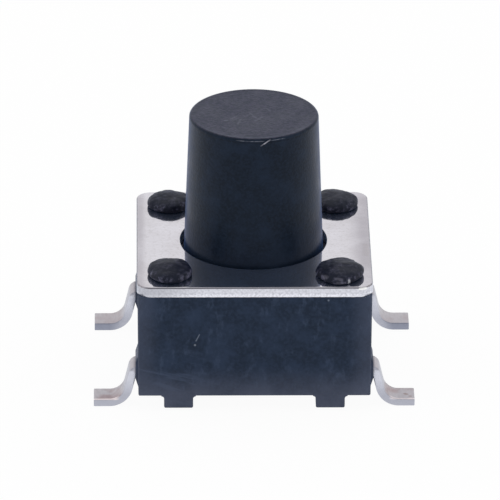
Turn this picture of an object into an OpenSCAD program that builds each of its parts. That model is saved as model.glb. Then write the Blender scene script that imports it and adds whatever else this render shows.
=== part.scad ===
// Tactile push button switch for surface mounting, all lengths in millimetres.
// Z is up and z = 0 is the board, where the soles of the four leads lie.
// X runs from lead tip to lead tip, Y from front to back, and the button stands on the Z axis.

/* [Overall] */
// Height from the board to the top of the button
overall_h = 7; // [5.8:0.1:9.5]

/* [Housing] */
// Height of the moulded block
housing_h = 2.8; // [2.6:0.05:3.2]
// Height of the underside of the block above the board
standoff_h = 0.43; // [0.3:0.01:0.6]
// Draft angle of the four outer walls
wall_draft = 0.4; // [0.1:0.05:1.2]
// Radius of the upright corners of the block
housing_corner_r = 0.13; // [0.08:0.01:0.2]
// Radius of the lower edges of the block and the feet
lower_edge_r = 0.08; // [0.05:0.01:0.14]
// Distance by which the cover plate stands out over the walls
cover_lip = 0.02; // [0:0.01:0.08]

/* [Feet] */
// Width of a moulded foot
foot_w = 0.74; // [0.6:0.02:0.9]
// Length of a foot, from the outer wall inwards
foot_l = 0.8; // [0.6:0.05:1.2]
// Distance from a side wall to the middle of a foot
foot_inset = 1.045; // [0.9:0.005:1.3]
// Distance by which the outer face of a foot stands back from the wall
foot_setback = 0.01; // [0.01:0.01:0.04]
// Gap left between a foot and the board
foot_gap = 0.08; // [0.02:0.01:0.12]
// Radius in the corner where a foot meets the block
foot_root_r = 0.07; // [0.03:0.01:0.1]

/* [Cover plate] */
// Distance from the centre of a stake to the edges of the cover plate
cover_margin = 0.85; // [0.75:0.01:0.95]
// Thickness of the cover plate
cover_t = 0.27; // [0.2:0.01:0.35]
// Radius of the corners of the cover plate
cover_corner_r = 0.38; // [0.25:0.01:0.5]
// Radius that the punching draws on the upper edges
cover_roll_r = 0.06; // [0.03:0.01:0.09]
// Gap around the button in its hole
button_gap = 0.095; // [0.06:0.005:0.15]

/* [Stakes] */
// Distance between stake centres, in X and in Y
stake_spread = 4.3; // [4.2:0.01:4.5]
// Diameter of a stake where it passes through the cover plate
stake_d = 0.8; // [0.6:0.02:0.84]
// Gap around a stake in its hole
stake_gap = 0.03; // [0.01:0.01:0.05]
// Diameter of the head that is melted over the cover plate
head_d = 1.16; // [1.06:0.02:1.24]
// Height of the head above the cover plate
head_h = 0.28; // [0.2:0.01:0.4]
// Radius of the rounded shoulder of the head
head_edge_r = 0.14; // [0.05:0.01:0.18]

/* [Button] */
// Diameter of the button at its top
button_top_d = 3.3; // [2.8:0.05:3.4]
// Diameter of the button where it leaves the cover plate
button_base_d = 3.56; // [3.44:0.01:3.6]
// Radius of the top edge of the button
button_edge_r = 0.07; // [0.03:0.01:0.15]
// Distance by which the flange stands out from the button, to hold it under the cover plate
flange_lip = 0.47; // [0.3:0.01:0.5]
// Thickness of the flange
flange_t = 0.5; // [0.3:0.02:0.6]
// Play between the flange and the cover plate
flange_play = 0.02; // [0.01:0.01:0.04]
// Gap around the flange in the bore of the housing
flange_gap = 0.15; // [0.05:0.01:0.2]
// Diameter of the boss that pushes on the dome
boss_d = 1.6; // [1.2:0.05:2]
// Radius of the lower edge of the boss
boss_edge_r = 0.2; // [0.1:0.01:0.3]
// Play between the boss and the dome
boss_play = 0.02; // [0.01:0.01:0.04]

/* [Contact dome] */
// Diameter of the snap dome
dome_d = 4.2; // [4.12:0.01:4.3]
// Thickness of the dome sheet
dome_t = 0.07; // [0.05:0.005:0.1]
// Travel of the button, which is the free height under the dome
travel = 0.25; // [0.15:0.01:0.35]
// Gap between the rim of the dome and its pocket
dome_gap = 0.06; // [0.03:0.01:0.1]
// Depth of the pocket that centres the dome
pocket_depth = 0.5; // [0.4:0.02:0.6]

/* [Terminals] */
// Distance from the front or rear wall to the centre line of the nearest leads
lead_inset = 0.68; // [0.66:0.01:0.8]
// Length of the flat sole at the end of a lead
sole_l = 0.4; // [0.3:0.01:1]
// Width of a lead
lead_w = 0.66; // [0.5:0.02:0.7]
// Thickness of the terminal sheet
sheet_t = 0.2; // [0.15:0.01:0.22]
// Height of the underside of the sheet inside the housing
sheet_z = 0.93; // [0.86:0.01:1]
// Angle of the leads below the horizontal
lead_angle = 76.5; // [60:0.5:84]
// Inner radius of the bend beside the housing
shoulder_r = 0.05; // [0.03:0.01:0.08]
// Inner radius of the bend above the sole
ankle_r = 0.4; // [0.25:0.01:0.42]
// Height of the contact pads above the sheet
pad_h = 0.2; // [0.16:0.01:0.24]
// Height by which the pads stand proud of the pocket floor
pad_proud = 0.05; // [0.03:0.01:0.08]
// Diameter of the middle contact pad
middle_pad_d = 0.9; // [0.6:0.05:1.1]
// Diameter of an outer contact pad
outer_pad_d = 0.5; // [0.4:0.02:0.52]
// Gap between an outer pad and the wall of the dome pocket
outer_pad_gap = 0.01; // [0:0.01:0.05]
// Width of the arms that lead to the pads
arm_w = 0.62; // [0.54:0.02:0.7]
// Diameter of the moulding pin holes under the pads
pin_hole_d = 0.44; // [0.3:0.02:0.5]

/* [Collars] */
// Wall thickness of the collar on each side of a lead
collar_wall = 0.09; // [0.05:0.01:0.12]
// Distance by which the collar stands out of the wall
collar_out = 0.07; // [0.04:0.01:0.12]
// Thickness of the collar above the sheet and below it, at its outer face
collar_rim = 0.1; // [0.05:0.01:0.15]
// Height over which the collar falls back to the wall, above and below its outer face
collar_slope_h = 0.23; // [0.1:0.01:0.3]

/* [Hidden] */
$fn = 72;

// Extra length that carries a cut past the face it opens, and a fillet into the walls it joins
over = 0.1;
// The roundings of the block are drawn this far outside its drafted walls, so that they cross them
draft_over = 0.003;

// Widths in X and Y
cover_w = stake_spread + 2 * cover_margin;
housing_w = cover_w - 2 * cover_lip;
button_hole_d = button_base_d + 2 * button_gap;
flange_d = button_base_d + 2 * flange_lip;
flange_bore_d = flange_d + 2 * flange_gap;
collar_w = lead_w + 2 * collar_wall;

// Distances between the middles of two leads and of two feet on the same wall
lead_pitch = housing_w - 2 * lead_inset;
foot_spread = housing_w - 2 * foot_inset;

// Heights, counted from the board
housing_top = standoff_h + housing_h;
cover_top = housing_top + cover_t;
sheet_top = sheet_z + sheet_t;
pad_top = sheet_top + pad_h;
pocket_floor = pad_top - pad_proud;
pocket_top = pocket_floor + pocket_depth;
dome_top = pad_top + travel + dome_t;
flange_top = housing_top - flange_play;
flange_low = flange_top - flange_t;
boss_low = dome_top + boss_play;

// Radius of the sphere that the underside of the dome follows
dome_r = dome_d / 2;
dome_sphere_r = (dome_r * dome_r + travel * travel) / (2 * travel);

// The outer pads lie under the rim of the dome, on its diagonals
outer_pad_r = dome_r + dome_gap - outer_pad_gap - outer_pad_d / 2;
outer_pad_x = outer_pad_r * cos(45);

// Half width of the drafted block at height z
function wall_at(z) = housing_w / 2 - (housing_top - z) * tan(wall_draft);

// The shoulder of a lead starts where the sheet leaves the wall
shoulder_x = wall_at(sheet_z + sheet_t / 2);
// Without its radius, a bend of radius 1 would start and end this far from its corner
bend_reach = tan(lead_angle / 2);
// The flat sole starts at sole_x, below the centre of the ankle
slope_run = sheet_z / tan(lead_angle);
sole_x = shoulder_x + slope_run + (shoulder_r + ankle_r + sheet_t) * bend_reach;
tip_x = sole_x + sole_l;

// What lies between a corner at p and a fillet of radius r in it, in the plane.
// The edges leave the corner along the unit vectors a and b.
module corner_piece(p, a, b, r) {
    half = acos(a * b) / 2;
    middle = p + (a + b) / norm(a + b) * r / sin(half);
    start = p + a * r / tan(half);
    end = p + b * r / tan(half);
    difference() {
        polygon([
            middle,
            start + (start - middle) / r * over,
            p - (a + b) * over,
            end + (end - middle) / r * over
        ]);
        translate(middle) circle(r);
    }
}

// Upright section between drafted walls, from height low to the top of the block, with rounded
// lower corners, the distance setback inside the outer walls
module drafted_section(low, setback) {
    low_half = wall_at(low) - setback;
    top_half = wall_at(housing_top) - setback;
    edge_half = wall_at(low + lower_edge_r) - setback + draft_over;
    difference() {
        polygon([
            [-low_half, low],
            [low_half, low],
            [top_half, housing_top],
            [-top_half, housing_top]
        ]);
        for (x = [-1, 1])
            corner_piece([x * edge_half, low], [-x, 0], [0, 1], lower_edge_r);
    }
}

// Prism that runs along Y with a section drawn in X and Z
module along_y(length) {
    rotate([90, 0, 0]) linear_extrude(length, center = true) children();
}

module drafted_block() {
    corner = housing_w / 2 + draft_over;
    difference() {
        intersection() {
            along_y(housing_w + over) drafted_section(standoff_h, 0);
            rotate(90) along_y(housing_w + over) drafted_section(standoff_h, 0);
        }
        linear_extrude(housing_top + over)
            for (x = [-1, 1], y = [-1, 1])
                corner_piece([x * corner, y * corner], [-x, 0], [0, -y], housing_corner_r);
    }
}

// Foot section in X and Z, with rounded lower corners and filleted roots
module foot_section() {
    half = foot_w / 2;
    difference() {
        translate([-half, foot_gap]) square([foot_w, standoff_h - foot_gap + over]);
        for (x = [-1, 1]) corner_piece([x * half, foot_gap], [-x, 0], [0, 1], lower_edge_r);
    }
    for (x = [-1, 1]) corner_piece([x * half, standoff_h], [x, 0], [0, -1], foot_root_r);
}

// The feet continue the front and rear walls down to just above the board
module feet() {
    inner_y = wall_at(standoff_h) - foot_l;
    intersection() {
        rotate(90) along_y(housing_w + over) drafted_section(foot_gap, foot_setback);
        for (x = [-1, 1], y = [-1, 1])
            translate([x * foot_spread / 2, y * (inner_y + housing_w / 2), 0])
                along_y(housing_w) foot_section();
    }
}

// Moulded collars that grip the leads where they leave the side walls
module collars() {
    intersection() {
        for (y = [-1, 1]) translate([0, y * lead_pitch / 2, 0]) along_y(collar_w) collar_section();
        // They stay clear of the rounded lower edges and of the cover plate
        translate([-housing_w, -housing_w / 2, standoff_h + 1.5 * lower_edge_r])
            cube([2 * housing_w, housing_w, housing_h - 3 * lower_edge_r]);
    }
}

// Section of a pair of collars in X and Z: on each side an upright face between two slopes,
// which run on a little way into the block
module collar_section() {
    face = wall_at(sheet_z) + collar_out;
    root = face - 1.5 * collar_out;
    low = sheet_z - collar_rim;
    high = sheet_top + collar_rim;
    polygon([
        [-face, low],
        [-root, low - 1.5 * collar_slope_h],
        [root, low - 1.5 * collar_slope_h],
        [face, low],
        [face, high],
        [root, high + 1.5 * collar_slope_h],
        [-root, high + 1.5 * collar_slope_h],
        [-face, high]
    ]);
}

// Head of a stake, melted to a flat button with a rounded shoulder
module stake_head() {
    r = head_d / 2;
    rotate_extrude($fn = 36) difference() {
        square([r, head_h]);
        corner_piece([r, head_h], [-1, 0], [0, -1], head_edge_r);
    }
}

// Places its children at the four stakes
module at_stakes() {
    for (x = [-1, 1], y = [-1, 1])
        translate([x * stake_spread / 2, y * stake_spread / 2, 0]) children();
}

// Section of a gull-wing lead in X and Z, from the middle of the switch to the tip on the right
module lead_section() {
    down = [cos(lead_angle), -sin(lead_angle)];
    shoulder_low = [shoulder_x + shoulder_r * bend_reach, sheet_z];
    shoulder_high = [shoulder_x + (shoulder_r + sheet_t) * bend_reach, sheet_top];
    ankle_low = [sole_x - (ankle_r + sheet_t) * bend_reach, 0];
    ankle_high = [sole_x - ankle_r * bend_reach, sheet_t];
    difference() {
        union() {
            polygon([
                [-over, sheet_z],
                shoulder_low,
                ankle_low,
                [tip_x, 0],
                [tip_x, sheet_t],
                ankle_high,
                shoulder_high,
                [-over, sheet_top]
            ]);
            corner_piece(shoulder_low, [-1, 0], down, shoulder_r);
            corner_piece(ankle_high, -down, [1, 0], ankle_r);
        }
        corner_piece(shoulder_high, [-1, 0], down, shoulder_r + sheet_t);
        corner_piece(ankle_low, -down, [1, 0], ankle_r + sheet_t);
    }
}

// Stamped strip with a gull-wing lead at each end, on the line y
module lead_strip(y) {
    translate([0, y, 0]) along_y(lead_w)
        for (side = [0, 1]) mirror([side, 0]) lead_section();
}

// Contact pad of diameter d, embossed from the sheet
module contact_pad(d) {
    translate([0, 0, sheet_z]) cylinder(d = d, h = pad_top - sheet_z);
}

module front_terminal_shape() {
    lead_strip(-lead_pitch / 2);
    translate([-arm_w / 2, -lead_pitch / 2, sheet_z]) cube([arm_w, lead_pitch / 2, sheet_t]);
    translate([0, 0, sheet_z]) cylinder(d = middle_pad_d + sheet_t, h = sheet_t);
    contact_pad(middle_pad_d);
}

module rear_terminal_shape() {
    lead_strip(lead_pitch / 2);
    for (x = [-1, 1]) translate([x * outer_pad_x, 0, 0]) {
        translate([-arm_w / 2, outer_pad_x, sheet_z]) cube([arm_w, lead_pitch / 2 - outer_pad_x, sheet_t]);
        translate([0, outer_pad_x, sheet_z]) cylinder(d = arm_w, h = sheet_t);
        translate([0, outer_pad_x, 0]) contact_pad(outer_pad_d);
    }
}

// Holes left by the pins that hold the pads while the housing is moulded
module pin_holes() {
    for (at = [[0, 0], [-outer_pad_x, outer_pad_x], [outer_pad_x, outer_pad_x]])
        translate([at[0], at[1], standoff_h - over])
            cylinder(d = pin_hole_d, h = sheet_z - standoff_h + over);
}

module housing() {
    color("#2b313d") difference() {
        union() {
            drafted_block();
            feet();
            collars();
            at_stakes() translate([0, 0, housing_top - over]) cylinder(d = stake_d, h = cover_t + 2 * over);
            at_stakes() translate([0, 0, cover_top]) stake_head();
        }
        translate([0, 0, pocket_floor]) cylinder(d = dome_d + 2 * dome_gap, h = pocket_depth + over);
        translate([0, 0, pocket_top]) cylinder(d = flange_bore_d, h = housing_top + over - pocket_top);
        front_terminal_shape();
        rear_terminal_shape();
        pin_holes();
    }
}

module front_terminal() {
    color("#b9b6be") front_terminal_shape();
}

module rear_terminal() {
    color("#b9b6be") rear_terminal_shape();
}

module contact_dome() {
    color("#c9cacc") rotate_extrude() intersection() {
        translate([0, pad_top + travel - dome_sphere_r]) difference() {
            circle(dome_sphere_r + dome_t);
            circle(dome_sphere_r);
        }
        translate([0, pad_top]) square([dome_r, travel + dome_t]);
    }
}

module button() {
    top_r = button_top_d / 2;
    base_r = button_base_d / 2;
    // The taper continues below the cover plate, down to the flange
    slope = (base_r - top_r) / (overall_h - cover_top);
    root_r = base_r + slope * (cover_top - flange_top);
    side = [slope, -1] / norm([slope, -1]);
    color("#272e3a") rotate_extrude() {
        difference() {
            polygon([
                [0, flange_low],
                [root_r, flange_low],
                [root_r, flange_top],
                [top_r, overall_h],
                [0, overall_h]
            ]);
            corner_piece([top_r, overall_h], [-1, 0], side, button_edge_r);
        }
        translate([0, flange_low]) square([flange_d / 2, flange_t]);
        difference() {
            translate([0, boss_low]) square([boss_d / 2, flange_low + over - boss_low]);
            corner_piece([boss_d / 2, boss_low], [-1, 0], [0, 1], boss_edge_r);
        }
    }
}

// Cover plate blank: a bar across each way and a disc in each corner, all with the rolled upper edge
module cover_blank() {
    corner_at = cover_w / 2 - cover_corner_r;
    for (turn = [0, 90]) rotate(turn) along_y(2 * corner_at) cover_section(cover_w / 2);
    for (x = [-1, 1], y = [-1, 1]) translate([x * corner_at, y * corner_at, 0])
        rotate_extrude() intersection() {
            cover_section(cover_corner_r);
            square([cover_w, cover_top]);
        }
}

// Upright section of the blank, reaching the distance half to each side
module cover_section(half) {
    difference() {
        translate([-half, housing_top]) square([2 * half, cover_t]);
        for (x = [-1, 1]) corner_piece([x * half, cover_top], [-x, 0], [0, -1], cover_roll_r);
    }
}

module cover_plate() {
    color("#cfccd2") difference() {
        cover_blank();
        translate([0, 0, housing_top - over]) cylinder(d = button_hole_d, h = cover_t + 2 * over);
        at_stakes() translate([0, 0, housing_top - over])
            cylinder(d = stake_d + 2 * stake_gap, h = cover_t + 2 * over);
    }
}

housing();
front_terminal();
rear_terminal();
contact_dome();
button();
cover_plate();
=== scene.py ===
import math

import bmesh
import bpy
from mathutils import Matrix, Vector, noise


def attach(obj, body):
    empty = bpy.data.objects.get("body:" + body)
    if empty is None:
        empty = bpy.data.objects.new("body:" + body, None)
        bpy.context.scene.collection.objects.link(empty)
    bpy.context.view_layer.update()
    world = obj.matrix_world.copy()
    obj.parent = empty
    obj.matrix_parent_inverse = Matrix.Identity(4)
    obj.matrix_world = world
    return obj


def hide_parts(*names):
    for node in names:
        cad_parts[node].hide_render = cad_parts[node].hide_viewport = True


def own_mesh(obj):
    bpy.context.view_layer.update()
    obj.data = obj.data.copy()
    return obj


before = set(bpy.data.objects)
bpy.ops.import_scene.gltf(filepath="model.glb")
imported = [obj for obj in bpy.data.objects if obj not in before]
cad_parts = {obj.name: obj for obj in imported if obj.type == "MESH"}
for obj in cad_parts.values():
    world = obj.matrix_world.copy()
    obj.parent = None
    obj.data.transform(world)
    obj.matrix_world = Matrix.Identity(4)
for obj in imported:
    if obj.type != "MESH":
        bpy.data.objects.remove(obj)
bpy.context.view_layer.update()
mm = 0.001
print("packed model loaded")

# Heights above the board that more than one piece uses. All sizes and places below are in millimetres.
coverLow = 3.23
coverThickness = 0.27
coverTop = coverLow + coverThickness
padTop = 1.33
buttonTop = 7.0

# A painted mark fades away between these shares of its width, counted from its middle line
markFade = (0.25, 0.75)


def hexToLinear(code):
    # "#rrggbb" in sRGB to the linear colour that a shader works with
    parts = [int(code[i:i + 2], 16) / 255 for i in (1, 3, 5)]
    return [c / 12.92 if c <= 0.04045 else ((c + 0.055) / 1.055) ** 2.4 for c in parts] + [1]


def addNode(tree, kind, settings=None, inputs=None):
    # one node with its settings and inputs, where an input is a value, a hex colour or another's output
    made = tree.nodes.new(kind)
    for name, value in (settings or {}).items():
        setattr(made, name, value)
    for name, value in (inputs or {}).items():
        if isinstance(value, bpy.types.NodeSocket):
            tree.links.new(value, made.inputs[name])
        else:
            made.inputs[name].default_value = hexToLinear(value) if isinstance(value, str) else value
    return made


def newMaterial(name):
    material = bpy.data.materials.new(name)
    material.use_nodes = True
    tree = material.node_tree
    tree.nodes.clear()
    return material, tree


def millimetreCoords(tree):
    # place on the piece in millimetres, so that pattern scales are real sizes, whole and as X, Y and Z
    place = addNode(tree, "ShaderNodeTexCoord").outputs["Object"]
    coords = addNode(tree, "ShaderNodeVectorMath", {"operation": "SCALE"},
                     {0: place, "Scale": 1 / mm}).outputs[0]
    return coords, addNode(tree, "ShaderNodeSeparateXYZ", None, {0: coords}).outputs


def surfaceNormal(tree):
    # the way that the surface faces, as X, Y and Z
    normal = addNode(tree, "ShaderNodeNewGeometry").outputs["True Normal"]
    return addNode(tree, "ShaderNodeSeparateXYZ", None, {0: normal}).outputs


def noiseField(tree, coords, size, detail=2.0, stretch=(1, 1, 1), roughness=0.5):
    # noise from 0 to 1 whose blobs, each half a wave, are about size millimetres across
    scaled = addNode(tree, "ShaderNodeVectorMath", {"operation": "MULTIPLY"}, {0: coords, 1: stretch})
    return addNode(tree, "ShaderNodeTexNoise", None, {
        "Vector": scaled.outputs[0], "Scale": 0.5 / size, "Detail": detail, "Roughness": roughness,
    }).outputs["Fac"]


def softFade(tree, *fades):
    # product of fades, each a finished mask or a value with its two ends, between which it goes smoothly
    # from 0 to 1, or from one amount to another where they follow the ends
    product = None
    for fade in fades:
        if not isinstance(fade, bpy.types.NodeSocket):
            value, start, end, *amounts = fade
            first, last = amounts or (0.0, 1.0)
            fade = addNode(tree, "ShaderNodeMapRange", {"interpolation_type": "SMOOTHSTEP"}, {
                "Value": value, "From Min": start, "From Max": end, "To Min": first, "To Max": last,
            }).outputs[0]
        if product is not None:
            fade = addNode(tree, "ShaderNodeMath", {"operation": "MULTIPLY"},
                           {0: product, 1: fade}).outputs[0]
        product = fade
    return product


def between(value, low, high, soft, amount=1.0):
    # the two fades that keep an effect between two ends of a value, both of them soft
    return (value, low - soft, low + soft), (value, high - soft, high + soft, amount, 0.0)


def layTone(tree, colour, tone, *fades):
    # lays a tone over the colour, as thick as the product of the fades
    return addNode(tree, "ShaderNodeMix", {"data_type": "RGBA"},
                   {0: softFade(tree, *fades), 6: colour, 7: tone}).outputs[2]


def markMask(tree, coords, mark):
    # the mark's strength on a scratch between two points, fading to 0 beside it
    start = Vector(mark["start"])
    along = Vector(mark["end"]) - start
    fromStart = addNode(tree, "ShaderNodeVectorMath", {"operation": "SUBTRACT"}, {0: coords, 1: start})
    share = addNode(tree, "ShaderNodeVectorMath", {"operation": "DOT_PRODUCT"},
                    {0: fromStart.outputs[0], 1: along / along.length_squared})
    held = addNode(tree, "ShaderNodeClamp", None, {"Value": share.outputs["Value"]})
    nearest = addNode(tree, "ShaderNodeVectorMath", {"operation": "SCALE"},
                      {0: along, "Scale": held.outputs[0]})
    gap = addNode(tree, "ShaderNodeVectorMath", {"operation": "DISTANCE"},
                  {0: fromStart.outputs[0], 1: nearest.outputs[0]})
    full, gone = [mark["width"] * part for part in markFade]
    return softFade(tree, (gap.outputs["Value"], full, gone, mark["strength"], 0.0))


def paintMarks(tree, coords, colour, marks):
    for mark in marks:
        colour = layTone(tree, colour, mark["colour"], markMask(tree, coords, mark))
    return colour


def meshPiece(name, bm, material, body, replaced, sharpAngle=32):
    # turns a finished bmesh into a piece that rides on its body and stands for its CAD node
    mesh = bpy.data.meshes.new(name)
    bmesh.ops.recalc_face_normals(bm, faces=bm.faces)
    bm.to_mesh(mesh)
    bm.free()
    mesh.shade_smooth()
    mesh.set_sharp_from_angle(angle=math.radians(sharpAngle))
    mesh.materials.append(material)
    piece = bpy.data.objects.new(name, mesh)
    bpy.context.scene.collection.objects.link(piece)
    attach(piece, body)
    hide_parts(replaced)
    print(name, "made with", len(mesh.polygons), "faces")
    return piece


def clamped(value):
    return max(0, min(1, value))


def ringEdges(bm, ring):
    return [bm.edges.get(pair) for pair in zip(ring, ring[1:] + ring[:1])]


def ringFaces(bm, lower, upper):
    for corners in zip(lower, lower[1:] + lower[:1], upper[1:] + upper[:1], upper):
        bm.faces.new(corners)


def arcPoints(centre, radius, start, end, steps):
    # points on an arc between two angles in degrees, both ends included
    angles = [math.radians(start + (end - start) * i / steps) for i in range(steps + 1)]
    return [(centre[0] + radius * math.cos(a), centre[1] + radius * math.sin(a)) for a in angles]


def lathe(bm, profile, steps, centre=(0, 0), shift=None):
    # turns a profile of (radius, height) about an upright axis, each point moved by shift where one is given
    rings = []
    for radius, height in profile:
        ring = []
        for i in range(steps if radius > 0 else 1):
            angle = 2 * math.pi * i / steps
            x, y = centre[0] + radius * math.cos(angle), centre[1] + radius * math.sin(angle)
            point = Vector((x, y, height))
            if shift:
                point += shift(point, angle)
            ring.append(bm.verts.new(point * mm))
        if rings:
            below = rings[-1]
            if len(below) == 1 or len(ring) == 1:
                tip, loop = (below[0], ring) if len(below) == 1 else (ring[0], below)
                for i in range(steps):
                    bm.faces.new((tip, loop[i], loop[(i + 1) % steps]))
            else:
                ringFaces(bm, below, ring)
        rings.append(ring)
    return rings


# The view of the photo: a long lens about 24 degrees above the board
cameraView = {
    "target": (-0.086, 0, 3.189),
    "distance": 200,
    "yaw": -0.868,
    "elevation": 24.371,
    "roll": 0.246,
    "sensor": 36,
    "framePixels": 500,
    "focalPixels": 7781.4,
    "clip": (10, 2000),
}


def addCamera(view):
    yaw, elevation = math.radians(view["yaw"]), math.radians(view["elevation"])
    level = math.cos(elevation)
    back = Vector((math.sin(yaw) * level, -math.cos(yaw) * level, math.sin(elevation)))
    right = Vector((0, 0, 1)).cross(back).normalized()
    turn = Matrix.Rotation(math.radians(view["roll"]), 3, back)
    right = turn @ right
    up = back.cross(right)
    data = bpy.data.cameras.new("camera")
    data.sensor_width = view["sensor"]
    data.lens = view["focalPixels"] / view["framePixels"] * view["sensor"]
    data.clip_start, data.clip_end = [end * mm for end in view["clip"]]
    camera = bpy.data.objects.new("camera", data)
    place = (Vector(view["target"]) + back * view["distance"]) * mm
    camera.matrix_world = Matrix.Translation(place) @ Matrix((right, up, back)).transposed().to_4x4()
    bpy.context.scene.collection.objects.link(camera)
    bpy.context.scene.camera = camera


# A white tent all round, a little dimmer where the camera stands, on a white floor
studio = {
    "tent": "#ffffff",
    "frontFade": (-0.9, -0.1),
    "frontStrength": 0.55,
    "floor": "#fcfcfc",
    "floorGlow": "#ffffff",
    "glowShare": 0.95,
    "floorRadius": 260,
    "floorDrop": 0.002,
    "floorSteps": 96,
}


def addWorld(look):
    world = bpy.data.worlds.new("whiteTent")
    world.use_nodes = True
    bpy.context.scene.world = world
    tree = world.node_tree
    tree.nodes.clear()
    direction = addNode(tree, "ShaderNodeTexCoord").outputs["Generated"]
    depth = addNode(tree, "ShaderNodeSeparateXYZ", None, {0: direction}).outputs["Y"]
    strength = softFade(tree, (depth, *look["frontFade"], look["frontStrength"], 1.0))
    tent = addNode(tree, "ShaderNodeBackground", None, {"Color": look["tent"], "Strength": strength})
    addNode(tree, "ShaderNodeOutputWorld", None, {"Surface": tent.outputs[0]})


def paintedFloor(look):
    # matt white board: the backdrop shows white, and the object's soft shadow stays on it
    material, tree = newMaterial("mattWhiteBoard")
    rays = addNode(tree, "ShaderNodeLightPath").outputs
    seen = rays["Is Camera Ray"]
    for kind in ("Is Glossy Ray", "Is Transmission Ray"):
        seen = addNode(tree, "ShaderNodeMath", {"operation": "MAXIMUM"}, {0: seen, 1: rays[kind]}).outputs[0]
    share = addNode(tree, "ShaderNodeMath", {"operation": "MULTIPLY"},
                    {0: seen, 1: look["glowShare"]}).outputs[0]
    matt = addNode(tree, "ShaderNodeBsdfDiffuse", None, {"Color": look["floor"]}).outputs[0]
    glow = addNode(tree, "ShaderNodeEmission", None, {"Color": look["floorGlow"]}).outputs[0]
    board = addNode(tree, "ShaderNodeMixShader", None, {0: share, 1: matt, 2: glow}).outputs[0]
    # from below the board is clear, so that the underside of the switch can be looked at
    below = addNode(tree, "ShaderNodeNewGeometry").outputs["Backfacing"]
    clear = addNode(tree, "ShaderNodeBsdfTransparent").outputs[0]
    oneSided = addNode(tree, "ShaderNodeMixShader", None, {0: below, 1: board, 2: clear})
    addNode(tree, "ShaderNodeOutputMaterial", None, {"Surface": oneSided.outputs[0]})
    return material


def addFloor(look):
    mesh = bpy.data.meshes.new("floor")
    bm = bmesh.new()
    bmesh.ops.create_circle(bm, cap_ends=True, segments=look["floorSteps"], radius=look["floorRadius"] * mm)
    bm.to_mesh(mesh)
    bm.free()
    mesh.materials.append(paintedFloor(look))
    floor = bpy.data.objects.new("floor", mesh)
    floor.location.z = -look["floorDrop"] * mm
    bpy.context.scene.collection.objects.link(floor)


addCamera(cameraView)
addWorld(studio)
addFloor(studio)
print("camera, tent and floor set")


# Moulded nylon: what the housing and the button have in common. A fade, here and in the pieces below, is
# the start and end of a value, followed by its amounts at both where they aren't 0 and 1.
nylonLook = {
    "clouds": {"size": 0.31, "detail": 4.0, "roughness": 0.56},
    "cloudFade": (0.4, 0.75),
    "patches": {"size": 0.6},
    "patchFade": (0.45, 0.7, 0.0, 0.3),
    "grain": {"size": 0.035},  # real grain is 0.01 mm, drawn coarser to show
    "grainFade": (0.35, 0.7, 0.0, 0.5),
    "grainDepth": 0.006,
    "grainStrength": 0.8,
    "paintedLightClouds": (0.25, 0.65, 0.6, 1.0),
    "speckDetail": 4.0,
    "speckRoughness": 0.7,
    "calmFacing": (0.45, 0.85),
    "roughClouds": (0.3, 0.7),
    "sheenTint": "#6f97e8",
    "sheenRoughness": 0.3,
}


def flowStrokes(tree, coords, parts, colour, look):
    # short pale strokes where the glass-filled melt flowed, upright in general and slanting at the lower left
    upright = noiseField(tree, coords, **look["strokes"])
    colour = layTone(tree, colour, look["strokeTone"], (upright, *look["strokeFade"]))
    slanted = addNode(tree, "ShaderNodeMapping", None, {
        "Vector": coords, "Rotation": (0, math.radians(look["slant"]), 0)}).outputs[0]
    lines = noiseField(tree, slanted, **look["slantLines"])
    return layTone(tree, colour, look["strokeTone"], (lines, *look["slantFade"]),
                   (parts["X"], *look["slantAcross"]), (parts["Z"], *look["slantUp"]))


def paintLipLines(tree, coords, parts, colour, look):
    # lines along the button's lip, between two angles and two heights: scraped stretches, and a painted shade
    # line under the lip's edge
    turn = addNode(tree, "ShaderNodeMath", {"operation": "ARCTAN2"},
                   {0: parts["Y"], 1: parts["X"]}).outputs[0]
    ragged = noiseField(tree, coords, **look["ragged"])
    for lipLine in look["lipLines"]:
        start, end = [math.radians(angle) for angle in lipLine["angles"]]
        low, high = lipLine["heights"]
        line = addNode(tree, "ShaderNodeMapRange", None, {
            "Value": turn, "From Min": start, "From Max": end, "To Min": low, "To Max": high}).outputs[0]
        gap = addNode(tree, "ShaderNodeMath", {"operation": "SUBTRACT"}, {0: parts["Z"], 1: line}).outputs[0]
        gap = addNode(tree, "ShaderNodeMath", {"operation": "ABSOLUTE"}, {0: gap}).outputs[0]
        full, gone = [lipLine["width"] * part for part in look["lipLineFade"]]
        colour = layTone(tree, colour, lipLine["colour"], (gap, full, gone, 1.0, 0.0),
                         *between(turn, start, end, look["lipLineEnds"]),
                         (ragged, *look["raggedFade"], look["leastStrength"], lipLine["strength"]))
    return colour


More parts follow.
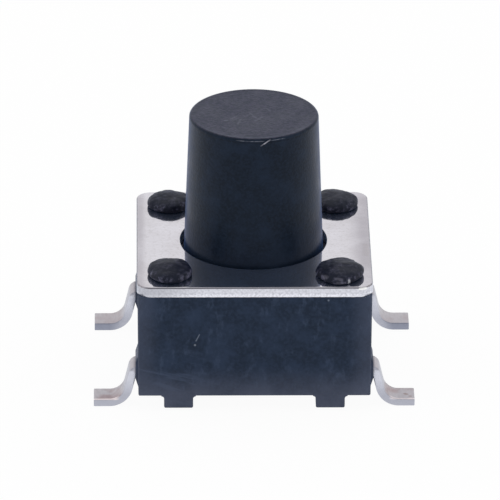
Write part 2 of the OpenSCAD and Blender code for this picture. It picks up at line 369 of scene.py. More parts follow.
def mouldedNylon(name, look):
    # glass-filled nylon, moulded in a fine-sparked tool: matte, cloudy blue-black, with a faint grain,
    # paler and mottled on its tops, and with painted light that makes the lower walls and the housing's side
    # edges paler
    material, tree = newMaterial(name)
    coords, parts = millimetreCoords(tree)
    facing = surfaceNormal(tree)
    clouds = noiseField(tree, coords, **nylonLook["clouds"])
    patches = noiseField(tree, coords, **nylonLook["patches"])
    grain = noiseField(tree, coords, **nylonLook["grain"])
    colour = layTone(tree, look["darkTone"], look["paleTone"], (clouds, *nylonLook["cloudFade"]))
    colour = layTone(tree, colour, look["darkTone"], (patches, *nylonLook["patchFade"]))
    colour = layTone(tree, colour, look["paleTone"], (grain, *nylonLook["grainFade"]))
    if "strokes" in look:
        colour = flowStrokes(tree, coords, parts, colour, look)
    # painted light from below: the housing's lower walls and the button's stem grow paler towards the bottom
    colour = layTone(tree, colour, look["paintedLightTone"], (parts["Z"], *look["paintedLowLight"]),
                     (clouds, *nylonLook["paintedLightClouds"]))
    # painted light on the housing: paler towards its left and right edges
    if "paintedEdgeLight" in look:
        aside = addNode(tree, "ShaderNodeMath", {"operation": "ABSOLUTE"}, {0: parts["X"]}).outputs[0]
        colour = layTone(tree, colour, look["paintedLightTone"], (aside, *look["paintedEdgeLight"]))
    # the mottled tops start at a height on the housing, and where the surface lies flat on the button
    specks = noiseField(tree, coords, look["speckSize"], nylonLook["speckDetail"],
                        roughness=nylonLook["speckRoughness"])
    mottle = layTone(tree, look["topBase"], look["topTone"], (specks, *look["topContrast"]),
                     (facing["Z"], *nylonLook["calmFacing"], 1.0, look["topCalm"]))
    if "topHeight" in look:
        tops = (parts["Z"], *look["topHeight"])
    else:
        tops = (facing["Z"], *look["topFacing"])
    colour = layTone(tree, colour, mottle, tops)
    colour = paintMarks(tree, coords, colour, look["marks"])
    if "lipLines" in look:
        colour = paintLipLines(tree, coords, parts, colour, look)
    bump = addNode(tree, "ShaderNodeBump", None, {
        "Strength": nylonLook["grainStrength"], "Distance": nylonLook["grainDepth"] * mm, "Height": grain})
    shader = addNode(tree, "ShaderNodeBsdfPrincipled", None, {
        "Base Color": colour,
        "Roughness": softFade(tree, (clouds, *nylonLook["roughClouds"], *look["roughness"])),
        "Specular IOR Level": look["specular"], "Specular Tint": look["tint"], "Normal": bump.outputs[0],
        "Sheen Weight": look["sheen"], "Sheen Roughness": nylonLook["sheenRoughness"],
        "Sheen Tint": nylonLook["sheenTint"]})
    addNode(tree, "ShaderNodeOutputMaterial", None, {"Surface": shader.outputs[0]})
    return material


# Housing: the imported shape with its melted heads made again, each one a little different
housingLook = {
    "mergeGap": 0.0001,
    "levelGap": 0.001,
    "flatAngle": 0.5,
    "stakeRadius": 0.4,
    "stakeReach": 0.8,
    "headSteps": 96,
    "headFoot": 0.006,
    "headHem": 0.075,
    "hemSteps": 7,
    "headShoulder": 0.17,
    "shoulderTurn": (6, 76),
    "shoulderSteps": 8,
    "headCrown": 0.075,
    "crownDrop": 0.035,
    "crownSteps": 14,
    "heads": [
        {"at": (2.16, -2.19), "radius": 0.605, "height": 0.275, "seed": 3.1, "reach": 0.13},
        {"at": (-2.15, -2.17), "radius": 0.570, "height": 0.290, "seed": 7.4, "reach": 0.1},
        {"at": (-2.15, 2.13), "radius": 0.570, "height": 0.275, "seed": 11.9, "reach": 0.0},
        {"at": (2.15, 2.13), "radius": 0.590, "height": 0.270, "seed": 16.2, "reach": 0.0},
    ],
    "outlineLumps": [(0.056, 1.3), (0.0192, 4.5)],
    "topLumps": [(0.030, 3.0), (0.007, 8.0)],
    "lumpsFrom": 0.15,
    "reachFrom": 0.1,
    "darkTone": "#132134",
    "paleTone": "#29374e",
    "strokeTone": "#425069",
    "strokes": {"size": 0.11, "detail": 3.0, "stretch": (1, 1, 0.5), "roughness": 0.6},
    "strokeFade": (0.54, 0.74, 0.0, 0.4),
    "slant": -14,
    "slantLines": {"size": 0.06, "detail": 3.0, "stretch": (0.13, 1, 1)},
    "slantFade": (0.5, 0.7, 0.0, 0.5),
    "slantAcross": (-0.9, -1.8),
    "slantUp": (1.9, 1.4),
    "topBase": "#0e0e1d",
    "topTone": "#6b6a80",
    "topContrast": (0.45, 0.75),
    "topCalm": 0.36,
    "topHeight": (3.49, 3.52, 0.0, 0.85),
    "speckSize": 0.08,
    # painted light: paler lower walls and side edges
    "paintedLightTone": "#575d70",
    "paintedLowLight": (1.35, 0.1, 0.0, 0.95),
    "paintedEdgeLight": (2.3, 2.95, 0.0, 0.35),
    "roughness": (0.47, 0.58),
    "specular": 0.2,
    "tint": "#eef4ff",
    "sheen": 0.1,
    "marks": [
        {"start": (-1.494, -2.96, 1.999), "end": (-1.407, -2.96, 2.176), "width": 0.032,
         "strength": 0.6, "colour": "#8d97a8"},
        {"start": (-1.519, -2.96, 1.882), "end": (-1.519, -2.96, 1.883), "width": 0.055,
         "strength": 0.5, "colour": "#a4adbb"},
        {"start": (1.868, -2.975, 3.129), "end": (1.868, -2.975, 3.13), "width": 0.05,
         "strength": 0.5, "colour": "#8d97a8"},
        {"start": (1.77, -2.68, 3.65), "end": (1.83, -2.71, 3.64), "width": 0.11,
         "strength": 0.17, "colour": "#8a8794"},
        {"start": (2.04, -2.87, 3.70), "end": (2.20, -2.88, 3.66), "width": 0.08,
         "strength": 0.2, "colour": "#8e8c9c"},
        {"start": (2.10, -2.90, 3.57), "end": (2.27, -2.90, 3.55), "width": 0.1,
         "strength": 0.16, "colour": "#8a8998"},
        {"start": (2.385, -2.84, 3.50), "end": (2.385, -2.81, 3.6), "width": 0.07,
         "strength": 0.55, "colour": "#d3d6de"},
    ],
}


def meltedHead(bm, head, look):
    # lumpy low dome with a rounded hem, as a hot tool leaves it on its stake
    stake, radius, hem, shoulder = look["stakeRadius"], head["radius"], look["headHem"], look["headShoulder"]
    start, turned = look["shoulderTurn"]
    foot = coverTop + look["headFoot"]
    crownStart = coverTop + head["height"] - look["crownDrop"]
    shoulderHeight = crownStart - shoulder * math.sin(math.radians(turned))
    crownRadius = radius - shoulder * (1 - math.cos(math.radians(turned)))
    profile = [(stake, coverTop), (stake, foot)]
    profile += arcPoints((radius - hem, foot + hem), hem, -90, 0, look["hemSteps"])
    profile += arcPoints((radius - shoulder, shoulderHeight), shoulder, start, turned, look["shoulderSteps"])
    for i in range(1, look["crownSteps"] + 1):
        share = 1 - i / look["crownSteps"]
        profile.append((crownRadius * share, crownStart + look["headCrown"] * (1 - share ** 2)))

    def lump(point, angle):
        # noise makes the outline and the top uneven, more so with height
        lift = clamped((point.z - coverTop) / look["lumpsFrom"])
        out = Vector((point.x - head["at"][0], point.y - head["at"][1], 0))
        around = Vector((math.cos(angle), math.sin(angle), head["seed"]))
        where = Vector((point.x, point.y, head["seed"]))
        wobble = sum(size * noise.noise(around * rate) for size, rate in look["outlineLumps"])
        rise = sum(size * noise.noise(where * rate) for size, rate in look["topLumps"])
        # the front heads were pressed out towards the near edge of the cover
        hemShare = clamped((out.length - stake) / look["reachFrom"])
        forward = head["reach"] * max(0, -out.y / radius) ** 3 * hemShare
        return out * wobble / radius * lift + Vector((0, -forward, rise * lift))

    return lathe(bm, profile, look["headSteps"], head["at"], lump)


def buildHousing(look):
    bm = bmesh.new()
    bm.from_mesh(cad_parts["housing"].data)
    bmesh.ops.remove_doubles(bm, verts=bm.verts, dist=look["mergeGap"] * mm)
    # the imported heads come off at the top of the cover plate
    level = (coverTop - look["levelGap"]) * mm
    above = [f for f in bm.faces if min(v.co.z for v in f.verts) > level]
    bmesh.ops.delete(bm, geom=above, context="FACES")
    flat = math.radians(look["flatAngle"])
    bmesh.ops.dissolve_limit(bm, angle_limit=flat, verts=bm.verts, edges=bm.edges)
    openEdges = [e for e in bm.edges if e.is_boundary]
    for head in look["heads"]:
        middle = Vector(head["at"])
        own = [e for e in openEdges if (e.verts[0].co.xy / mm - middle).length < look["stakeReach"]]
        lowest = meltedHead(bm, head, look)[0]
        bmesh.ops.bridge_loops(bm, edges=own + ringEdges(bm, lowest))
    material = mouldedNylon("mouldedNylonHousing", look)
    return meshPiece("housing_shell", bm, material, "switch_body", "housing")


buildHousing(housingLook)


# Cover plate: punched sheet, with rolled upper edges and a torn lower half to each cut
coverLook = {
    "width": 6.0,
    "cornerRadius": 0.38,
    "cornerSteps": 24,
    "sideSteps": 96,
    "buttonHole": 3.75,
    "buttonHoleSteps": 160,
    "stakeHole": 0.86,
    "stakeHoleSteps": 64,
    "stakeSpread": 4.3,
    "roll": 0.045,
    "holeRoll": 0.035,
    "rollSteps": 6,
    "rim": 0.012,
    "lowerBreak": [(0.03, 0), (0.006, 0), (0.0015, 0.0025), (0, 0.008)],
    "wallShares": (0.15, 0.3, 0.45, 0.6, 0.75, 0.9),
    "tornHeight": 0.13,
    "tornFade": 0.1,
    "tornStart": 0.01,
    "tornDepth": 0.005,
    "tornRates": (9, 12),
    "cutFacing": (0.05, 0.3, 1.0, 0.0),
    "rollFacing": (0.3, 0.9, 0.08),
    "clouds": {"size": 0.5, "detail": 3.0},
    "fine": {"size": 0.05, "detail": 3.0},
    "tear": {"size": 0.03, "detail": 3.0},
    "waves": {"size": 0.9, "detail": 1.0},
    "steel": "#d8d5db",
    "smudge": "#8d837c",
    "cloudSmudge": (0.35, 0.75, 0.0, 0.22),
    "fineSmudge": (0.45, 0.75, 0.0, 0.18),
    "margin": "#b0abb1",
    "marginSides": [(2.35, 2.85), (-2.72, -2.92, 0.0, 0.8)],
    "marginClouds": (0.3, 0.6, 0.55, 1.0),
    "edgeSteel": "#f2f3fc",
    "edgeShade": "#a7a9b2",
    "tearShade": (0.38, 0.68, 0.0, 0.4),
    "leftShade": (-1.2, -2.6, 0.0, 0.55),
    "upperShade": (3.32, 3.38, 0.0, 0.3),
    "upperRagged": 0.08,
    # painted shade on the rolled edge, lighter at the corners
    "paintedRollShade": "#77767f",
    "rollCorner": "#a5a1a9",
    "cornerFade": (2.7, 2.85),
    "burrShade": "#66625f",
    "burrTear": (0.42, 0.58, 0.0, 0.75),
    "burrCorner": (2.8, 2.9),
    "metallic": (0.975, 0.9),
    "topRoughness": (0.3, 0.7, 0.05, 0.09),
    "cutRoughness": (0.3, 0.7, 0.34, 0.5),
    "rollRoughness": 0.36,
    "reliefDepth": 0.004,
    "waveStrength": 0.5,
    "tearStrength": 0.6,
    "haze": "#4ba8ff",
    "hazeWeight": 0.17,
    "hazeRoughness": 0.4,
    "dustAndGlint": [
        {"start": (0.023, -2.401, 3.5), "end": (0.024, -2.401, 3.5), "width": 0.05,
         "strength": 0.5, "colour": "#f2f2f6"},
        {"start": (0.925, -2.283, 3.5), "end": (0.926, -2.283, 3.5), "width": 0.04,
         "strength": 0.35, "colour": "#f2f2f6"},
        {"start": (2.87, -0.37, 3.5), "end": (2.86, -0.99, 3.5), "width": 0.16,
         "strength": 0.15, "colour": "#8d837c"},
        # painted glint: a short white line of light on the front edge near the right-front corner
        {"start": (2.66, -2.99, 3.455), "end": (2.81, -2.95, 3.455), "width": 0.06,
         "strength": 1.0, "colour": "#ffffff"},
    ],
}


def punchedSteel(look):
    # tin-plated steel sheet, rolled bright: a soft mirror with a faint blue haze on top, and grainy where
    # the punch tore the edge
    material, tree = newMaterial("punchedSteelSheet")
    coords, parts = millimetreCoords(tree)
    upright = surfaceNormal(tree)["Z"]
    flat = addNode(tree, "ShaderNodeMath", {"operation": "ABSOLUTE"}, {0: upright}).outputs[0]
    aside = addNode(tree, "ShaderNodeMath", {"operation": "ABSOLUTE"}, {0: parts["X"]}).outputs[0]
    cut = softFade(tree, (flat, *look["cutFacing"]))
    rolled = softFade(tree, *between(flat, *look["rollFacing"]))
    clouds = noiseField(tree, coords, **look["clouds"])
    fine = noiseField(tree, coords, **look["fine"])
    tear = noiseField(tree, coords, **look["tear"])
    # the flat top, with darker margins at its left and right end
    top = layTone(tree, look["steel"], look["smudge"], (clouds, *look["cloudSmudge"]))
    top = layTone(tree, top, look["smudge"], (fine, *look["fineSmudge"]))
    for side in look["marginSides"]:
        top = layTone(tree, top, look["margin"], (parts["X"], *side), (clouds, *look["marginClouds"]))
    # the punched edges, darker to the left and near the top
    ragged = addNode(tree, "ShaderNodeMath", {"operation": "MULTIPLY_ADD"}, {
        0: tear, 1: look["upperRagged"], 2: parts["Z"]}).outputs[0]
    edge = layTone(tree, look["edgeSteel"], look["edgeShade"], (tear, *look["tearShade"]))
    edge = layTone(tree, edge, look["edgeShade"], (parts["X"], *look["leftShade"]))
    edge = layTone(tree, edge, look["edgeShade"], (ragged, *look["upperShade"]))
    # the rolled edge between them, darkened with painted shade that is lighter at the corners, and with burrs
    # at the corners
    roll = layTone(tree, look["paintedRollShade"], look["rollCorner"], (aside, *look["cornerFade"]))
    roll = layTone(tree, roll, look["burrShade"], (tear, *look["burrTear"]), (aside, *look["burrCorner"]))
    colour = layTone(tree, top, edge, cut)
    colour = layTone(tree, colour, roll, rolled)
    colour = paintMarks(tree, coords, colour, look["dustAndGlint"])
    rough = addNode(tree, "ShaderNodeMix", {"data_type": "FLOAT"}, {
        0: cut, 2: softFade(tree, (clouds, *look["topRoughness"])),
        3: softFade(tree, (tear, *look["cutRoughness"]))}).outputs[0]
    rough = addNode(tree, "ShaderNodeMix", {"data_type": "FLOAT"}, {
        0: rolled, 2: rough, 3: look["rollRoughness"]}).outputs[0]
    depth = look["reliefDepth"] * mm
    wavy = addNode(tree, "ShaderNodeBump", None, {
        "Strength": look["waveStrength"], "Distance": depth,
        "Height": noiseField(tree, coords, **look["waves"])}).outputs[0]
    bump = addNode(tree, "ShaderNodeBump", None, {
        "Strength": look["tearStrength"], "Distance": depth,
        "Height": softFade(tree, tear, cut), "Normal": wavy}).outputs[0]
    shader = addNode(tree, "ShaderNodeBsdfPrincipled", None, {
        "Base Color": colour, "Metallic": softFade(tree, (cut, 0.0, 1.0, *look["metallic"])),
        "Roughness": rough, "Normal": bump, "Sheen Weight": look["hazeWeight"],
        "Sheen Roughness": look["hazeRoughness"], "Sheen Tint": look["haze"]})
    addNode(tree, "ShaderNodeOutputMaterial", None, {"Surface": shader.outputs[0]})
    return material


def squareOutline(width, radius, cornerSteps, sideSteps):
    # points with directions out of the metal, anticlockwise round a square with rounded corners
    outline = []
    middle = width / 2 - radius
    for corner in range(4):
        turn = Matrix.Rotation(math.radians(90 * corner), 2)
        for x, y in arcPoints((0, 0), 1, 0, 90, cornerSteps):
            place = Vector((middle + radius * x, middle + radius * y))
            outline.append((turn @ place, turn @ Vector((x, y))))
        for i in range(1, sideSteps):
            along = middle - 2 * middle * i / sideSteps
            outline.append((turn @ Vector((along, middle + radius)), turn @ Vector((0, 1))))
    return outline


def holeOutline(centre, diameter, steps):
    # points with directions out of the metal, round a hole
    outline = []
    for x, y in arcPoints((0, 0), 1, 0, 360, steps)[:-1]:
        place = Vector((centre[0] + diameter / 2 * x, centre[1] + diameter / 2 * y))
        outline.append((place, Vector((-x, -y))))
    return outline


def punchedWall(bm, outline, look, roll):
    # wall of one cut, from its broken lower edge to its rolled upper edge
    profile = [(inset, coverLow + rise) for inset, rise in look["lowerBreak"]]
    profile += [(0, coverLow + share * (coverThickness - roll)) for share in look["wallShares"]]
    profile += arcPoints((roll, coverTop - roll), roll, 180, 90, look["rollSteps"])
    profile.append((roll + look["rim"], coverTop))
    across, upward = look["tornRates"]
    rings = []
    for inset, z in profile:
        # the torn half of the cut is uneven
        torn = clamped((coverLow + look["tornHeight"] - z) / look["tornFade"])
        torn *= clamped((z - coverLow) / look["tornStart"]) * look["tornDepth"]
        ring = []
        for place, out in outline:
            rough = torn * noise.noise(Vector((place.x * across, place.y * across, z * upward)))
            point = place - out * (inset - rough)
            ring.append(bm.verts.new((point.x * mm, point.y * mm, z * mm)))
        if rings:
            ringFaces(bm, rings[-1], ring)
        rings.append(ring)
    return rings


def buildCover(look):
    bm = bmesh.new()
    square = squareOutline(look["width"], look["cornerRadius"], look["cornerSteps"], look["sideSteps"])
    half = look["stakeSpread"] / 2
    holes = [((0, 0), look["buttonHole"], look["buttonHoleSteps"])]
    for x in (-half, half):
        for y in (-half, half):
            holes.append(((x, y), look["stakeHole"], look["stakeHoleSteps"]))
    walls = [punchedWall(bm, square, look, look["roll"])]
    walls += [punchedWall(bm, holeOutline(*hole), look, look["holeRoll"]) for hole in holes]
    for level in (0, -1):
        rim = []
        for rings in walls:
            rim += ringEdges(bm, rings[level])
        bmesh.ops.triangle_fill(bm, use_beauty=True, edges=rim, normal=(0, 0, 1))
    return meshPiece("cover_sheet", bm, punchedSteel(look), "switch_body", "cover_plate")


buildCover(coverLook)


# Button: one moulding, with a chipped front lip
buttonLook = {
    "topRadius": 1.65,
    "slope": 0.13 / 3.5,
    "lipRadius": 0.07,
    "lipStart": 2,
    "lipSteps": 8,
    "fineStretch": 0.25,
    "fineSteps": 14,
    "sideSteps": 24,
    "faceInset": 0.02,
    "faceSteps": 12,
    "flangeTop": 3.21,
    "flangeLow": 2.71,
    "flangeRadius": 2.25,
    "bossRadius": 0.8,
    "bossEdge": 0.2,
    "bossSteps": 8,
    "bossLow": 1.67,
    "steps": 288,
    "chipHeight": 6.955,
    "chipRise": 0.05,
    "chipRadius": 1.63,
    "chipWidth": 0.06,
    "chipEnds": (-0.5, 0.8),
    "chipBase": 0.35,
    "chipRates": (7, 5),
    "chipSlice": 0.3,
    "chipMove": (0, 0.022, -0.012),
    "darkTone": "#0a1420",
    "paleTone": "#192536",
    "topBase": "#161a29",
    "topTone": "#312f40",
    "topContrast": (0.36, 0.64),
    "topCalm": 1.0,
    "topFacing": (0.75, 0.95),
    "speckSize": 0.055,
    # painted light: the stem paler low down, near the cover
    "paintedLightTone": "#2c3546",
    "paintedLowLight": (4.4, 3.4, 0.0, 0.3),
    "roughness": (0.33, 0.44),
    "specular": 0.17,
    "tint": "#dfe9ff",
    "sheen": 0.42,
    "marks": [
        {"start": (*start, buttonTop), "end": (*end, buttonTop), "width": width, "strength": strength,
         "colour": "#8c8d9b"}
        for start, end, width, strength in (
            ((-0.589, -0.327), (-0.434, -0.135), 0.055, 0.1),
            ((-0.415, -0.648), (-0.334, -0.328), 0.055, 0.1),
            ((-0.100, 0.056), (0.048, -0.266), 0.055, 0.1),
            ((0.020, -0.458), (0.202, -0.202), 0.055, 0.1),
            ((-0.823, -0.838), (-0.722, -0.902), 0.055, 0.1),
            ((-0.72, -0.42), (-0.70, -0.41), 0.09, 0.14),
            ((0.313, 0.376), (0.412, 0.182), 0.055, 0.1),
        )
    ],
    "ragged": {"size": 0.04},
    "raggedFade": (0.38, 0.6),
    "leastStrength": 0.15,
    "lipLineFade": (0.3, 0.7),
    "lipLineEnds": 0.02,
    "lipLines": [
        # painted shade: a dark line just under the lip's edge, round the front half
        {"angles": (-180, 0), "heights": (6.905, 6.905), "width": 0.035,
         "strength": 0.6, "colour": "#080d15"},
        {"angles": (-106.7, -81.9), "heights": (6.95, 6.948), "width": 0.02,
         "strength": 0.42, "colour": "#8f93a0"},
        {"angles": (-75.5, -62.4), "heights": (6.955, 6.955), "width": 0.018,
         "strength": 0.4, "colour": "#8f93a0"},
        {"angles": (-84.5, -76.2), "heights": (6.83, 6.975), "width": 0.034,
         "strength": 0.8, "colour": "#b4b4c0"},
    ],
}


def buttonProfile(look):
    # from the middle of the boss out over the flange and up the tapered stem to the middle of the top
    lip, radius, slope, edge = look["lipRadius"], look["topRadius"], look["slope"], look["bossEdge"]
    stemLow, boss = look["flangeTop"], look["bossRadius"]
    profile = [(0, look["bossLow"]), (boss - edge, look["bossLow"])]
    profile += arcPoints((boss - edge, look["bossLow"] + edge), edge, -90, 0, look["bossSteps"])[1:]
    profile += [(boss, look["flangeLow"]), (look["flangeRadius"], look["flangeLow"])]
    profile += [(look["flangeRadius"], stemLow), (radius + slope * (buttonTop - stemLow), stemLow)]
    # finer rings near the lip, where the chips are
    fineLow = buttonTop - lip - look["fineStretch"]
    coarse = look["sideSteps"]
    heights = [stemLow + (fineLow - stemLow) * i / coarse for i in range(1, coarse + 1)]
    heights += [fineLow + look["fineStretch"] * i / look["fineSteps"] for i in range(1, look["fineSteps"])]
    profile += [(radius + slope * (buttonTop - z), z) for z in heights]
    lipCentre = (radius - lip, buttonTop - lip)
    profile += arcPoints(lipCentre, lip + slope * lip, look["lipStart"], 90, look["lipSteps"])
    face = radius - lip - look["faceInset"]
    profile += [(face * (1 - i / look["faceSteps"]), buttonTop) for i in range(look["faceSteps"] + 1)]
    return profile


def buildButton(look):
    left, right = look["chipEnds"]
    across, upward = look["chipRates"]

    def chip(point, angle):
        # small bites out of the front lip, as the photo shows them
        if point.y > 0:
            return Vector((0, 0, 0))
        offLip = math.hypot(point.x, point.y) - look["chipRadius"]
        share = clamped(1 - abs(point.z - look["chipHeight"]) / look["chipRise"])
        share *= clamped(1 - abs(offLip) / look["chipWidth"])
        share *= clamped((point.x - left) / look["chipWidth"])
        share *= clamped((right - point.x) / look["chipWidth"])
        uneven = noise.noise(Vector((point.x * across, look["chipSlice"], point.z * upward)))
        return Vector(look["chipMove"]) * max(0, look["chipBase"] + uneven) * share

    bm = bmesh.new()
    lathe(bm, buttonProfile(look), look["steps"], shift=chip)
    material = mouldedNylon("mouldedNylonButton", look)
    return meshPiece("button_cap", bm, material, "push_button", "button")


buildButton(buttonLook)


# Terminals: stamped strips with gull-wing ends, rounded a little along their edges
terminalLook = {
    "line": 2.3,
    "width": 0.66,
    "thickness": 0.2,
    "low": 0.93,
    "shoulderX": 2.9646,
    "shoulderRadius": 0.05,
    "shoulderSteps": 14,
    "ankleRadius": 0.4,
    "ankleSteps": 28,
    "angle": 76.5,
    "soleLength": 0.4,
    "soleSteps": 6,
    "armWidth": 0.62,
    "padSteps": 48,
    "frontPads": [{"at": (0, 0), "pad": 0.45, "disc": 0.55}],
    "rearPads": [
        {"at": (-1.3435, 1.3435), "pad": 0.25, "disc": 0.31},
        {"at": (1.3435, 1.3435), "pad": 0.25, "disc": 0.31},
    ],
    "edgeRadius": 0.022,
    "edgeSteps": 3,
    "edgeAngle": 40,
    "clouds": {"size": 0.22, "detail": 3.0},
    "grain": {"size": 0.03, "stretch": (1, 0.35, 1)},  # real rolling grain is finer, drawn coarser to show
    "tin": "#b3afb5",
    "cool": "#b4b6c2",
    "upFacing": (0.15, 0.8),
    "frontFacing": (-0.3, -0.6),
    "warm": "#a29397",
    "warmClouds": (0.42, 0.66),
    "warmFront": (-0.5, 0.5, 1.0, 0.35),
    "warmLow": (0.55, 0.4),
    "slopeCut": "#dcdee9",
    "slopeUp": (0.25, 0.8, 0.0, 0.7),
    "rearCut": "#9296a6",
    "rearFade": (-0.5, 0.5),
    "footFade": (3.3, 3.75),
    # painted shadow beside the collar and where the side of the lead starts
    "shade": "#68646f",
    "gapShadowAside": (3.10, 3.05, 0.0, 0.6),
    "gapShadowUp": (0.9, 1.0),
    "shadowBand": (1.0, 1.1, 0.03, 0.45),
    # painted highlight along the near top edge of the front feet
    "paintedEdgeHighlight": "#efe4e6",
    "highlightUp": (0.175, 0.19),
    "highlightDepth": (-2.65, -2.59, 0.012),
    "highlightAside": (3.42, 3.55),
    "highlightClouds": (0.3, 0.5, 0.45, 0.95),
    "roughness": (0.3, 0.7, 0.3, 0.42),
    "grainDepth": 0.003,
    "grainStrength": 0.6,
    "marks": [
        {"start": (3.86, -2.33, 0.2), "end": (3.9, -2.36, 0.2), "width": 0.09,
         "strength": 0.5, "colour": "#7c5a4e"},
        {"start": (3.98, -2.48, 0.2), "end": (4.0, -2.48, 0.2), "width": 0.07,
         "strength": 0.45, "colour": "#7c5a4e"},
    ],
}


def tinnedBrass(look):
    # stamped brass with satin tin plating: grey metal with a soft sheen and brownish cloudy reflections
    material, tree = newMaterial("tinnedBrassStrip")
    coords, parts = millimetreCoords(tree)
    depth, height = parts["Y"], parts["Z"]
    aside = addNode(tree, "ShaderNodeMath", {"operation": "ABSOLUTE"}, {0: parts["X"]}).outputs[0]
    facing = surfaceNormal(tree)
    upward = softFade(tree, (facing["Z"], *look["upFacing"]))
    frontward = softFade(tree, (facing["Y"], *look["frontFacing"]))
    clouds = noiseField(tree, coords, **look["clouds"])
    grain = noiseField(tree, coords, **look["grain"])
    colour = layTone(tree, look["cool"], look["tin"], upward)
    colour = layTone(tree, colour, look["warm"], upward, (clouds, *look["warmClouds"]),
                     (depth, *look["warmFront"]), (height, *look["warmLow"]))
    # the sheared sides are paler up the slope, and darker on the rear feet
    colour = layTone(tree, colour, look["slopeCut"], frontward, (height, *look["slopeUp"]))
    colour = layTone(tree, colour, look["rearCut"], frontward, (depth, *look["rearFade"]),
                     (aside, *look["footFade"]))
    # painted shadow in the gap beside the collar, and a painted shadow line where the side of the lead starts
    gap = softFade(tree, (aside, *look["gapShadowAside"]), (height, *look["gapShadowUp"]))
    shadowBand = softFade(tree, frontward, *between(height, *look["shadowBand"]))
    shade = addNode(tree, "ShaderNodeMath", {"operation": "MAXIMUM"}, {0: gap, 1: shadowBand}).outputs[0]
    colour = layTone(tree, colour, look["shade"], shade)
    # a painted highlight along the near top edge of the front feet
    colour = layTone(tree, colour, look["paintedEdgeHighlight"], (height, *look["highlightUp"]),
                     *between(depth, *look["highlightDepth"]), (aside, *look["highlightAside"]),
                     (clouds, *look["highlightClouds"]))
    colour = paintMarks(tree, coords, colour, look["marks"])
    bump = addNode(tree, "ShaderNodeBump", None, {
        "Strength": look["grainStrength"], "Distance": look["grainDepth"] * mm, "Height": grain})
    shader = addNode(tree, "ShaderNodeBsdfPrincipled", None, {
        "Base Color": colour, "Metallic": 1.0, "Roughness": softFade(tree, (grain, *look["roughness"])),
        "Normal": bump.outputs[0]})
    addNode(tree, "ShaderNodeOutputMaterial", None, {"Surface": shader.outputs[0]})
    return material


def leadProfile(look):
    # upper and lower line of the right-hand lead in X and Z, from the shoulder to the tip
    angle, sheet, low = look["angle"], look["thickness"], look["low"]
    bend, ankleBend, turned = look["shoulderRadius"], look["ankleRadius"], 90 - angle
    shoulder = (look["shoulderX"], low - bend)
    ankleX = shoulder[0] + low / math.tan(math.radians(angle))
    ankleX += (bend + ankleBend + sheet) * math.tan(math.radians(angle / 2))
    ankle = (ankleX, ankleBend + sheet)
    upper = arcPoints(shoulder, bend + sheet, 90, turned, look["shoulderSteps"])
    upper += arcPoints(ankle, ankleBend, 180 + turned, 270, look["ankleSteps"])
    lower = arcPoints(shoulder, bend, 90, turned, look["shoulderSteps"])
    lower += arcPoints(ankle, ankleBend + sheet, 180 + turned, 270, look["ankleSteps"])
    for i in range(1, look["soleSteps"] + 1):
        x = ankleX + look["soleLength"] * i / look["soleSteps"]
        upper.append((x, sheet))
        lower.append((x, 0))
    return upper, lower


def buildTerminal(name, look, pads, side, replaced, material):
    # drawn with its strip at the rear; side turns it to the front
    bm = bmesh.new()
    outer, inner = look["line"] + look["width"] / 2, look["line"] - look["width"] / 2
    low, high = look["low"], look["low"] + look["thickness"]
    half, steps = look["armWidth"] / 2, look["padSteps"]
    upper, lower = leadProfile(look)
    edge = upper[0][0]
    points = {}

    def at(x, y, z):
        key = (round(x, 5), round(y, 5), round(z, 5))
        if key not in points:
            points[key] = bm.verts.new((x * mm, y * side * mm, z * mm))
        return points[key]

    def face(corners, mirror=1):
        bm.faces.new([at(mirror * x, y, z) for x, y, z in corners])

    # the two leads: faces over their whole width, then their sheared sides
    for mirror in (-1, 1):
        for a, b in [*zip(upper, upper[1:]), *zip(lower, lower[1:]), (upper[-1], lower[-1])]:
            face([(a[0], inner, a[1]), (b[0], inner, b[1]), (b[0], outer, b[1]), (a[0], outer, a[1])], mirror)
        for quad in zip(upper, upper[1:], lower[1:], lower):
            for y in (inner, outer):
                face([(x, y, z) for x, z in quad], mirror)
    # flat sheet inside the housing, its arms and the discs under its pads
    face([(-edge, outer, low), (edge, outer, low), (edge, outer, high), (-edge, outer, high)])
    contour = [(edge, inner)]
    for pad in sorted(pads, key=lambda pad: -pad["at"][0]):
        x = pad["at"][0]
        start = math.degrees(math.acos(half / pad["disc"]))
        contour += [(x + half, inner)] + arcPoints(pad["at"], pad["disc"], start, -start - 180, steps)
        contour += [(x - half, inner)]
    contour += [(-edge, inner)]
    for a, b in zip(contour, contour[1:]):
        face([(*a, low), (*b, low), (*b, high), (*a, high)])
    outline = contour + [(-edge, outer), (edge, outer)]
    face([(x, y, low) for x, y in outline])
    rim = []
    for a, b in zip(outline, outline[1:] + outline[:1]):
        pair = (at(*a, high), at(*b, high))
        rim.append(bm.edges.get(pair) or bm.edges.new(pair))
    for pad in pads:
        circle = arcPoints(pad["at"], pad["pad"], 0, 360, steps)[:-1]
        base = [at(x, y, high) for x, y in circle]
        crown = [at(x, y, padTop) for x, y in circle]
        ringFaces(bm, base, crown)
        bm.faces.new(crown)
        rim += ringEdges(bm, base)
    bmesh.ops.triangle_fill(bm, use_beauty=True, edges=rim, normal=(0, 0, 1))
    bmesh.ops.recalc_face_normals(bm, faces=bm.faces)
    sharp = math.radians(look["edgeAngle"])
    corners = [e for e in bm.edges if e.is_manifold and e.calc_face_angle(0) > sharp]
    bmesh.ops.bevel(bm, geom=corners, offset=look["edgeRadius"] * mm, segments=look["edgeSteps"], profile=0.5,
                    affect="EDGES", clamp_overlap=True)
    return meshPiece(name, bm, material, "switch_body", replaced)


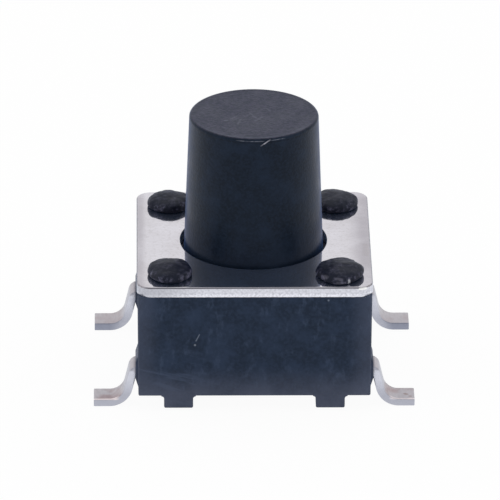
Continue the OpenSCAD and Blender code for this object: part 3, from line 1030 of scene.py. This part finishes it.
tinPlating = tinnedBrass(terminalLook)
buildTerminal("front_lead_strip", terminalLook, terminalLook["frontPads"], -1, "front_terminal", tinPlating)
buildTerminal("rear_lead_strip", terminalLook, terminalLook["rearPads"], 1, "rear_terminal", tinPlating)


# Contact dome: thin spring steel that snaps flat under the button
domeLook = {
    "radius": 2.1,
    "rise": 0.25,
    "sheet": 0.07,
    "rim": padTop,
    "rings": 22,
    "steps": 160,
    "steel": "#bfc0c4",
    "lineTone": "#8f9096",
    "lines": {"size": 0.03, "stretch": (0.06, 1, 1)},  # real rolling lines are finer, drawn coarser to show
    "lineFade": (0.3, 0.7, 0.0, 0.3),
    "lineDepth": 0.001,
    "lineStrength": 0.4,
    "roughness": 0.26,
    "keep": 0.22,
}


def springSteel(look):
    # rolled stainless strip: bright grey with fine parallel rolling lines
    material, tree = newMaterial("rolledSpringSteel")
    coords = millimetreCoords(tree)[0]
    lines = noiseField(tree, coords, **look["lines"])
    colour = layTone(tree, look["steel"], look["lineTone"], (lines, *look["lineFade"]))
    bump = addNode(tree, "ShaderNodeBump", None, {
        "Strength": look["lineStrength"], "Distance": look["lineDepth"] * mm, "Height": lines})
    shader = addNode(tree, "ShaderNodeBsdfPrincipled", None, {
        "Base Color": colour, "Metallic": 1.0, "Roughness": look["roughness"], "Normal": bump.outputs[0]})
    addNode(tree, "ShaderNodeOutputMaterial", None, {"Surface": shader.outputs[0]})
    return material


def buildDome(look):
    bm = bmesh.new()
    ball = (look["radius"] ** 2 + look["rise"] ** 2) / (2 * look["rise"])
    centre = look["rim"] + look["rise"] - ball
    radii = [look["radius"] * i / look["rings"] for i in range(look["rings"] + 1)]
    inner, outer = [[(r, centre + math.sqrt(sphere ** 2 - r ** 2)) for r in radii]
                    for sphere in (ball, ball + look["sheet"])]
    lathe(bm, inner + outer[::-1], look["steps"])
    dome = meshPiece("snap_dome", bm, springSteel(look), "switch_body", "contact_dome")
    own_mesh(dome)


buildDome(domeLook)

bpy.context.scene.view_settings.view_transform = "Standard"
print("scene complete")
